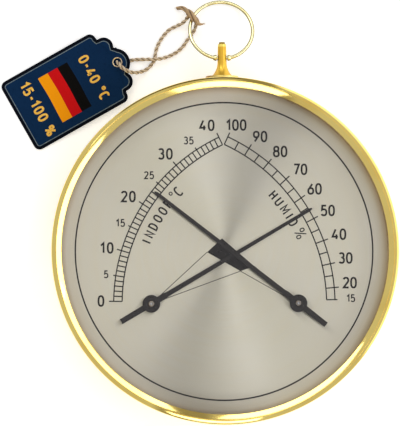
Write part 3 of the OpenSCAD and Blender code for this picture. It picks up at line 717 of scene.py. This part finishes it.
def lathe(name, finish, profile, turns, sharp=32, place=None):
    """A turned piece: profile is a closed line of (radius, height) in mm, round the Z axis."""
    shape = Shape()
    put = place or (lambda x, y, z: (x, y, z))
    rows = []
    for radius, height in profile:
        if radius < 1e-6:
            rows.append([len(shape.points)] * turns)
            shape.points.append(put(0, 0, height * mm))
            continue
        rows.append(list(range(len(shape.points), len(shape.points) + turns)))
        for a in 2 * np.pi * np.arange(turns) / turns:
            x, y = radius * mm * math.cos(a), radius * mm * math.sin(a)
            shape.points.append(put(x, y, height * mm))
    for low, high in zip(rows, rows[1:] + rows[:1]):
        for i in range(turns):
            j = (i + 1) % turns
            face = list(dict.fromkeys((low[i], low[j], high[j], high[i])))
            if len(face) > 2:
                shape.faces.append(tuple(face))
    return shape.build(name, finish, sharp)


eyelet_brass = metal("eyelet_brass", (212, 192, 160), (140, 120, 94), 0.24)
rim = [(1.45, -0.02), (1.5, -0.12), (1.64, -0.18), (1.84, -0.14), (1.92, -0.02), (1.74, 0.0),
       (1.74, 0.5), (1.92, 0.52), (1.84, 0.64), (1.64, 0.68), (1.5, 0.62), (1.45, 0.5)]
eyelet = lathe(
    "eyelet_rim", eyelet_brass, rim, 96,
    place=lambda x, y, z: on_tag(eyelet_u + x, y, z),
)
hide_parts("tag_eyelet")
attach(eyelet, "root")

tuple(twine_route[0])


# Case drum: a shallow can of thin brass sheet, turned in at the back to a lip, and polished and
# lacquered outside. The back cover drops in against its lip.
def rounded(points, radii):
    """A closed profile with each corner rounded off by its own radius."""
    points = [np.array(p, float) for p in points]
    made = []
    for i, (here, radius) in enumerate(zip(points, radii)):
        before, after = points[i - 1], points[(i + 1) % len(points)]
        into, out = before - here, after - here
        if radius <= 0:
            made.append(tuple(here))
            continue
        start = here + into / np.linalg.norm(into) * radius
        stop = here + out / np.linalg.norm(out) * radius
        for t in np.linspace(0, 1, 5):
            made.append(tuple((1 - t) ** 2 * start + 2 * t * (1 - t) * here + t * t * stop))
    return made


def gold(name, rough=0.09, wave=0.6):
    return metal(
        name, (250, 224, 132), (242, 208, 108), rough, coat=0.35, grain=900, wave=wave,
        tarnish=(206, 156, 76),
    )


lip_r, drum_r, drum_h, sheet = 60.4, 64.4, 26.2, 0.8
drum_profile = rounded(
    [(lip_r, 0), (drum_r, 0), (drum_r, drum_h), (drum_r - sheet, drum_h),
     (drum_r - sheet, sheet), (lip_r, sheet)],
    [0.2, 0.6, 0, 0, 0.1, 0.2],
)
drum = lathe("drum_shell", gold("case_gold"), drum_profile, 256)
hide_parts("case_drum")
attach(drum, "root")


def dress(finish, *nodes):
    """Gives CAD nodes that stay as they are a finish in place of their plain material."""
    for name in nodes:
        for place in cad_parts[name].material_slots:
            place.material = finish.material


dress(gold("cover_gold", rough=0.16, wave=1.4), "back_cover")
dress(gold("screw_gold", rough=0.2), "cover_screws")


# Bezel: spun brass, polished and lacquered. Two bands slope down from a ridge with a fine line in
# it, one to the rounded outer edge and one to the glass. It is pushed over the drum.
def arc(x, y, radius, start, stop, steps):
    return [
        (x + radius * math.cos(a), y + radius * math.sin(a))
        for a in np.radians(np.linspace(start, stop, steps))
    ]


bezel_profile = [
    (64.5, 19.5), (64.56, 19.42), (64.94, 19.42), (65.0, 19.5), *arc(64.3, 26.33, 0.7, 0, 50, 10),
    (64.61, 26.98), (64.46, 27.11), (64.3, 27.23), (64.13, 27.35), (63.96, 27.46), (63.79, 27.57),
    (63.62, 27.67), (63.44, 27.76), (63.38, 27.72), (63.34, 27.66), (63.3, 27.66), (63.26, 27.72),
    (63.18, 27.8), (61.28, 26.98), (61.16, 26.9), (61.1, 26.8), (61.1, 26.5), (64.5, 26.5),
]
bezel = lathe("bezel_ring", gold("bezel_gold", rough=0.08, wave=0.3), bezel_profile, 320, sharp=18)
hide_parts("bezel")
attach(bezel, "root")


# Glass: a flat disc of clear float glass, held between a rubber gasket under the bezel and the
# brass ring that keeps it off the dial. Another brass ring carries the dial from below.
def rubber():
    made = Finish("gasket_black")
    at = made.place()
    bloom = made.noise(at, 500, 3)
    made.surface(
        base_color=made.mix(shade(30, 30, 31), shade(58, 57, 55), bloom.above(0.5, 0.3)),
        roughness=0.7 + bloom * 0.2, normal=made.bump(bloom, 0.3, 0.00005),
    )
    return made


def window():
    """Clear float glass: what is behind it shows, and its face mirrors a little of the room."""
    made = Finish("window_glass")
    at = made.place()
    smears = made.noise(at, 70, 3)
    clear = made.node("BsdfTransparent", values={"Color": (0.985, 0.99, 0.985)})
    mirror = made.node(
        "BsdfPrincipled",
        values={
            "Base Color": made.mix((0.96, 0.98, 0.97), (0.9, 0.92, 0.9), smears),
            "Metallic": 1.0,
            "Roughness": smears.above(0.5, 0.4) * 0.03 + 0.01,
        },
    )
    angle = made.node("Fresnel", values={"IOR": 1.45})
    made.show(made.node("MixShader", values={0: angle * 0.5, 1: clear, 2: mirror}))
    return made


dress(rubber(), "lens_gasket")
dress(window(), "glass_lens")
inner_brass = metal("inner_brass", (214, 176, 96), (186, 142, 66), 0.26)
dress(inner_brass, "spacer_ring", "dial_seat_ring", "cover_brackets")


# Dial: a sheet of pale metal, brushed on a turntable so that light gathers in cones, lacquered
# and printed in one dark ink.
def brushed_dial():
    made = Finish("brushed_dial")
    at = made.place()
    x, y, z = made.split(at)
    radius = (x * x + y * y).math("SQRT") * 1000
    aside, upwards = x * 1000 / (radius + 0.01), y * 1000 / (radius + 0.01)
    polar = made.node("CombineXYZ", values={0: radius * 4.5, 1: aside * 2.5, 2: upwards * 2.5})
    rings = made.noise(polar, 1.0, 4, 0.7)
    coarse = made.node("CombineXYZ", values={0: radius * 0.9, 1: aside * 1.5, 2: upwards * 1.5})
    bands = made.noise(coarse, 1.0, 2)
    lengthwise = made.noise(made.stretched(at, 30, 30, 30), 1.0, 2)
    tone = made.mix(shade(226, 222, 209), shade(217, 212, 196), rings)
    tone = made.mix(tone, shade(222, 214, 192), bands.above(0.4, 0.3) * 0.4)
    tone = made.mix(tone, shade(230, 227, 220), lengthwise.above(0.45, 0.3) * 0.3)
    # Painted shade and painted reflection: browner towards the rim, where the bezel shades the
    # dial and its gold wall is mirrored in it.
    tone = made.mix(tone, shade(166, 144, 106), radius.above(58.8, 3.4) * 0.75)
    made.surface(
        base_color=tone,
        metallic=0.92,
        roughness=0.31 + rings * 0.06,
        anisotropic=1.0,
        anisotropic_rotation=0.25,
        normal=made.bump(rings, 0.1, 0.00002),
    )
    return made


dress(brushed_dial(), "dial_plate")

dark_ink = printed("dark_ink", (34, 27, 23), (22, 16, 13), 0.5, 0.15)
dress(dark_ink, "dial_print")

pivot_x, pivot_y = 27.5, -19.65
ink_t = 0.05


def off_pivot(side, reach, angle):
    """A point of the dial, at a distance and an angle above the line between the pivots."""
    a = math.radians(angle)
    return side * (pivot_x - reach * math.cos(a)), pivot_y + reach * math.sin(a)


def figure(side, value, reach, angle, right, up, spacing=0.3):
    """A plain upright figure outside a scale's arc, nudged right and up; the fives are small."""
    x, y = off_pivot(side, reach, angle)
    high, weight = (2.5, 0.48) if value % 10 else (3.65, 0.7)

    def place(a, b, h):
        return (x + right) * mm + a, (y + up) * mm + b, dial_face * mm + h
    lettering(shape, str(value), high * mm, weight * mm, ink_t * mm, place, spacing)


# Each scale's first angle and its degrees of arc a unit, then for each figure its own turn in
# degrees and its nudges in mm
thermo_start, thermo_step = 0.55, 1.6
hygro_start, hygro_step, hygro_low = 1.2, 0.752, 15
thermo_figures = {
    0: (0.2, 0.23, 0.19), 5: (0, 0.5, 0.29), 10: (0, 0.25, -0.28), 15: (0, 0.15, 0),
    20: (0, -0.32, 0), 25: (0, -0.05, 0.7), 30: (0, 0.08, 0.16), 35: (0, -0.4, 0.24),
    40: (-1.2, -0.24, 0.08),
}
hygro_figures = {
    100: (-0.9, -0.36, -0.5), 90: (-0.9, 0, 0), 80: (-0.55, 0, 0), 70: (-0.8, 0.3, 0.4),
    60: (-0.2, 0, 0.15), 50: (0.2, 0.1, 0), 40: (0.25, 0.25, 0), 30: (0.65, 0, 0),
    20: (1.0, 0, 0), 15: (0.3, 0, 0),
}
shape = Shape()
for value, (turn, right, up) in thermo_figures.items():
    reach = 73.1 if value % 10 else 74.8 if value else 74.0
    figure(1, value, reach, thermo_start + thermo_step * value + turn, right, up)
for value, (turn, right, up) in hygro_figures.items():
    angle = hygro_start + hygro_step * (value - hygro_low) + turn
    figure(-1, value, 75.0, angle, right, up, 0.24)

# The scales' captions run clockwise inside their arcs, each letter's top away from the pivot
captions = [
    (1, "INDOOR", (22.4, 25.2, 28.2, 31.4, 34.6, 37.8), 61.3, 3.2, 0.62),
    (1, "°", (41.0,), 61.3, 4.6, 0.38), (1, "C", (43.3,), 61.4, 3.5, 0.62),
    (-1, "HUMID", (41.5, 38.4, 35.0, 32.2, 29.6), 61.5, 3.2, 0.62),
    (-1, "%", (25.1,), 62.0, 3.9, 0.42),
]
for side, word, angles, reach, size, weight in captions:
    for letter, angle in zip(word, angles):
        cx, cy = off_pivot(side, reach, angle)
        a = math.radians(180 - angle if side > 0 else angle)
        out, along = (math.cos(a), math.sin(a)), (math.sin(a), -math.cos(a))

        def place(px, py, h, c=(cx, cy), o=out, s=along):
            x, y = c[0] * mm + px * s[0] + py * o[0], c[1] * mm + px * s[1] + py * o[1]
            return x, y, dial_face * mm + h
        lettering(shape, letter, size * mm, weight * mm, ink_t * mm, place)
dial_figures = shape.build("dial_figures", dark_ink)
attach(dial_figures, "root")


# Movements: each pointer's arbor turns in a brass bush and a brass bridge on two pillars, and is
# wound by a coil of strip that an adjuster holds. Bimetal for warmth, coated strip for damp.
steel = metal("plain_steel", (196, 198, 200), (160, 162, 166), 0.22)
copper = metal("copper_strip", (206, 140, 104), (150, 96, 66), 0.3)
coated = metal("coated_strip", (168, 172, 164), (120, 126, 120), 0.42)
turned_brass = metal("turned_brass", (226, 186, 104), (196, 152, 76), 0.2)
for kind, strip in (("thermo", copper), ("hygro", coated)):
    dress(turned_brass, kind + "_bush", kind + "_pillars", kind + "_bridge")
    dress(steel, kind + "_bridge_screws", kind + "_adjuster", kind + "_arbor")
    dress(strip, kind + "_coil")


# Pointers: stamped from thin sheet and sprayed matt black, each with a black hub disc and a
# bright collet that is pushed on to the arbor.
def black_spray():
    made = Finish("pointer_black")
    at = made.place()
    fine = made.noise(at, 2600, 3)
    dust = made.noise(at, 700, 2)
    tone = made.mix(shade(26, 19, 17), shade(34, 26, 23), fine.above(0.5, 0.3))
    tone = made.mix(tone, shade(48, 40, 35), dust.above(0.66, 0.1) * 0.4)
    made.surface(
        base_color=tone, roughness=0.42 + fine * 0.2, specular_ior_level=0.25,
        normal=made.bump(fine, 0.1, 0.00002),
    )
    return made


pointer_black = black_spray()
nickel = metal("collet_nickel", (176, 168, 160), (118, 110, 104), 0.25)
hub_r, blade_t = 3.3, 0.4


def blade_outline(front):
    """One side of the blade in mm: tail, hub disc, neck, tapering front and blunt tip."""
    hub = arc(0, 0, hub_r, 160.3, 20.4, 28)
    return [(-13.1, 1.0), *hub, (5.6, 1.15), (7.0, 0.925), (front - 1.2, 0.6), (front, 0.22)]


def blade(name, front, base_z, x, y, turn):
    """The flat blade, with its upper edge softened by the paint."""
    half = blade_outline(front)
    outline = np.array(half + [(u, -v) for u, v in reversed(half)])
    shape = Shape()
    soft = 0.08
    c, s = math.cos(math.radians(turn)), math.sin(math.radians(turn))
    shrink = outline - soft * np.stack([np.zeros(len(outline)), np.sign(outline[:, 1])], 1)
    rows = [
        shape.ring([
            ((x + u * c - v * s) * mm, (y + u * s + v * c) * mm, (base_z + height) * mm)
            for u, v in points
        ])
        for points, height in ((outline, 0), (outline, blade_t - soft), (shrink, blade_t))
    ]
    count = len(outline)
    for low, high in zip(rows, rows[1:]):
        shape.band(high, low, count)
    for row, up in ((rows[0], False), (rows[-1], True)):
        for i in range(len(half) - 1):
            face = (row + i, row + i + 1, row + count - 2 - i, row + count - 1 - i)
            shape.faces.append(tuple(reversed(face)) if up else face)
    return shape.build(name, pointer_black, 25)


def on_pivot(x, z):
    """Stands a turned piece on the pivot at x, with its foot z mm above the table."""
    return lambda px, py, pz: (px + x * mm, py + pivot_y * mm, pz + z * mm)


hub_profile = rounded(
    [(1.3, 0.0), (hub_r, 0.0), (hub_r, 0.65), (2.7, 0.65), (2.62, 0.8), (1.85, 0.8), (1.75, 0.65),
     (1.3, 0.65)],
    [0, 0.05, 0.12, 0.04, 0.06, 0.06, 0.04, 0.06],
)
collet_profile = rounded(
    [(0.0, -0.4), (1.25, -0.4), (1.25, 1.1), (0.9, 1.5), (0.42, 1.5), (0.34, 1.28), (0.0, 1.28)],
    [0, 0.05, 0.1, 0.08, 0.08, 0.05, 0],
)
# Each pointer's length, pivot, height and the angle that it shows
readings = [
    ("thermo", 68.1, pivot_x, 21.9, 180 - 37.97), ("hygro", 70.1, -pivot_x, 20.0, 30.53),
]
for kind, front, x, z, turn in readings:
    body = kind + "_movement"
    pointer = blade(kind + "_blade", front, z, x, pivot_y, turn)
    hub = lathe(
        kind + "_hub_disc", pointer_black, hub_profile, 96, place=on_pivot(x, z + blade_t)
    )
    collet = lathe(kind + "_collet_pin", nickel, collet_profile, 64, place=on_pivot(x, z))
    for made, node, slot in (
        (pointer, "_pointer", "pointer_black"), (hub, "_hub", "pointer_black"),
        (collet, "_collet", "collet_nickel"),
    ):
        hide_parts(kind + node)
        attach(made, body)


# Hanger: a turned stud with a flared foot on a round rosette, screwed through the drum with a
# washer and a nut inside. The rosette's underside is hollowed to the drum.
def stud_finish(name, light, dark):
    """Satin gold with painted shade on the left side, a painted highlight round the shoulder under
    the tip, and a darker tip.
    """
    made = Finish(name)
    at = made.place()
    x, y, _ = made.split(at)
    y = y * 1000
    fine = made.noise(at, 900, 4, 0.6)
    patches = made.noise(at, 110, 3)
    tone = made.mix(shade(*light), shade(*dark), patches.above(0.35, 0.4))
    # Painted shade: browner on the left side, towards -X, on the stud and the rosette.
    tone = made.mix(shade(176, 136, 78), tone, (x * 1000).above(-6, 5))
    # Painted highlight: a bright band round the top of the shaft, under the tip.
    tone = made.mix(tone, shade(252, 236, 128), y.between(77.3, 78.2, 0.3) * 0.8)
    tone = made.mix(tone, shade(132, 112, 52), y.above(78.35, 0.2) * 0.9)
    made.surface(
        base_color=tone,
        metallic=1.0,
        roughness=0.3 + fine * 0.1 + patches.above(0.5, 0.3) * 0.05,
        coat_weight=0.15,
        coat_roughness=0.1,
        normal=made.bump(fine, 0.15, 0.00004),
    )
    return made


stud_gold = stud_finish("stud_gold", (238, 194, 74), (222, 170, 52))
rosette_gold = stud_finish("rosette_gold", (246, 228, 140), (236, 212, 112))
stud_height = 9.5
rosette_face = 66.4


def along_stud(x, y, z):
    """Turns a lathe piece so that its axis lies along +Y, at the height of the stud."""
    return x, z, stud_height * mm - y


# The shaft is 0.1 mm less in radius than the solid's, and its foot flares to 3.9 mm
foot = [(1.74 + 2.16 * (1 - t) ** 2.2, rosette_face + 5.2 * t) for t in np.linspace(0, 1, 14)]
stud_profile = [
    (0.0, 59.1), (1.5, 59.1), (1.5, rosette_face), *foot, (1.56, 78.3), (1.52, 78.42),
    (1.2, 78.5), (1.16, 78.6), (1.15, 79.0), (1.05, 79.17), (0.9, 79.2), (0.0, 79.2),
]
stud = lathe("stud_turned", stud_gold, stud_profile, 96, sharp=40, place=along_stud)
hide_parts("hanger_stud")
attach(stud, "root")


def on_drum(x, y, z):
    """As along_stud, with what would be inside the drum drawn back to its surface."""
    x, y, z = along_stud(x, y, z)
    return x, max(y, math.sqrt(((drum_r + 0.05) * mm) ** 2 - x * x)), z


rosette_profile = rounded(
    [(1.6, 63.4), (6.2, 63.4), (6.2, rosette_face), (1.6, rosette_face)], [0, 0, 0.35, 0]
)
rosette = lathe("rosette_plate", rosette_gold, rosette_profile, 128, place=on_drum)
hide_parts("stud_rosette")
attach(rosette, "root")
dress(steel, "stud_washer", "stud_nut")


# Ring: bent from round brass wire and plated, and shown a little finer than its solid. Its ends
# turn in through the stud's cross hole, with a small tapering collar on each side.
# Its flanks colour is painted shade on the wire's sides, darker than its top.
ring_gold = metal(
    "ring_gold", (250, 242, 190), (238, 226, 156), 0.13, coat=0.2, wave=0.1,
    tarnish=(190, 170, 96), shaded_flanks=(126, 114, 58),
)
hinge = np.array((0.0, 73.3, stud_height)) * mm
ring_radius, ring_eye, wire_r = 11.9 * mm, 2.8 * mm, 0.725 * mm
drawn_r = 0.9 * wire_r
ring_middle = math.sqrt(ring_radius**2 - ring_eye**2)
droop = math.asin((hinge[2] - wire_r) / (ring_middle + ring_radius))


def in_ring(x, y):
    """A point in the ring's own plane: y from the hinge to the ring's far side."""
    return hinge + np.array((x, y * math.cos(droop), -y * math.sin(droop)))


gap = math.asin(ring_eye / ring_radius)
wire = [in_ring(x * mm, 0) for x in (0.1, 1.4, 2.5)]
for a in np.linspace(-math.pi / 2 + gap, 1.5 * math.pi - gap, 180):
    wire.append(in_ring(ring_radius * math.cos(a), ring_middle + ring_radius * math.sin(a)))
wire += [in_ring(-x * mm, 0) for x in (2.5, 1.4, 0.1)]
shape = Shape()
shape.tube(wire, drawn_r, 20)
collar_x = np.array((2.05, 2.06, 2.12, 2.5, 2.6, 3.3, 3.35)) * mm
collar_r = np.array((0.74, 1.08, 1.15, 1.15, 1.12, 0.87, 0.76)) * mm
for side in (-1, 1):
    shape.tube([in_ring(side * x, 0) for x in collar_x], collar_r, 28)
ring = shape.build("ring_wire", ring_gold, sharp=45)
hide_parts("hanging_ring")
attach(ring, "ring")


# Studio: a wide pale table under a soft roof with a darker wedge in it, between plain walls, and
# soft panels round it: two at the foot, two on the right and one at the head.
def table_top():
    made = Finish("table_paper")
    at = made.place()
    paper = made.noise(at, 300, 3)
    mottle = made.mix(shade(242, 242, 242), shade(236, 236, 236), paper)
    body = made.node("BsdfDiffuse", values={"Color": mottle, "Roughness": 0.3})
    path = made.node("LightPath", out="Is Camera Ray")
    glossy = Value(made, path.socket.node.outputs["Is Glossy Ray"])
    through = Value(made, path.socket.node.outputs["Is Transmission Ray"])
    seen = path.math("MAXIMUM", glossy.math("MAXIMUM", through))
    glow = made.node("Emission", values={"Color": (1, 1, 1), "Strength": seen * 0.42})
    made.show(made.node("AddShader", values={0: body, 1: glow}))
    return made


# The table, six metres square
shape = Shape()
shape.points = [(-3, -3, 0), (3, -3, 0), (3, 3, 0), (-3, 3, 0)]
shape.faces = [(0, 1, 2, 3)]
shape.build("table", table_top())

panel_distance = 1.2
warm, cool = (1.0, 0.99, 0.97), (0.98, 0.98, 1.0)


def softbox(name, azimuth, elevation, wide, high, radiance, tint):
    """A soft light that faces the dial from azimuth degrees round and elevation degrees up."""
    data = bpy.data.lights.new(name, "AREA")
    data.shape, data.size, data.size_y = "RECTANGLE", wide, high
    data.energy = radiance * math.pi * wide * high
    data.color = tint
    made = added(name, data)
    a, e = math.radians(azimuth), math.radians(elevation)
    towards = Vector((math.cos(e) * math.cos(a), math.cos(e) * math.sin(a), math.sin(e)))
    made.location = towards * panel_distance
    made.rotation_euler = towards.to_track_quat("Z", "Y").to_euler()


softbox("foot_low_panel", -91, 24, 0.63, 0.3, 3.2, warm)
softbox("foot_high_panel", -87, 46, 0.6, 0.24, 3.2, warm)
softbox("right_panel", -10, 40.5, 0.9, 0.24, 2.9, cool)
softbox("far_right_panel", 41, 40.5, 0.9, 0.24, 2.3, cool)
softbox("head_panel", 112, 41, 0.92, 0.24, 2.8, warm)

room = Finish("studio_room", "worlds")
bpy.context.scene.world = room.material
x, y, z = room.split(room.node("TexCoord", out="Generated"))
level_part = (x * x + y * y).math("SQRT") + 0.001


def along_line(azimuth):
    """How nearly a direction points to azimuth, from -1 to 1 where it points straight there."""
    a = math.radians(azimuth)
    return (x * math.cos(a) + y * math.sin(a)) / level_part


def off_line(azimuth):
    """How far a direction is to the side of the line at azimuth, from 0 to 1."""
    return along_line(azimuth + 90).math("ABSOLUTE")


# The roof is warm on the left and cool on the right, with a faint dip, a ray and a dark wedge
roof = room.mix((0.93, 0.885, 0.77), (1.0, 0.965, 1.03), (x / level_part).above(-0.4, 0.8))
roof = room.mix((0.78, 0.74, 0.66), roof, off_line(138).above(0.0, 0.5))
ray = (1 - off_line(99).above(0.04, 0.2)) * (y / level_part).above(0.3, 0.4)
roof = room.mix(roof, (1.45, 1.42, 1.36), ray)
roof = room.mix((0.11, 0.1, 0.08), roof, off_line(75).above(0.12, 0.22))

# The walls are grey, dark low down at the head, and bright low down on the right
low_head = along_line(97).above(0.87, 0.05) * (1 - z.above(0.12, 0.22))
walls = room.mix((0.62, 0.615, 0.6), (0.04, 0.035, 0.03), low_head)
walls = room.mix(walls, (0.3, 0.28, 0.24), 1 - off_line(75).above(0.06, 0.1))
low_right = along_line(18).above(0.58, 0.1) * (1 - z.above(0.2, 0.12))
walls = room.mix(walls, (1.5, 1.46, 1.36), low_right)
walls = room.mix(walls, roof, z.above(0.76, 0.06))
made = room.node("Background", values={"Color": walls, "Strength": 1.0})
room.node("OutputWorld", values={"Surface": made})

bpy.context.scene.view_settings.view_transform = "Standard"
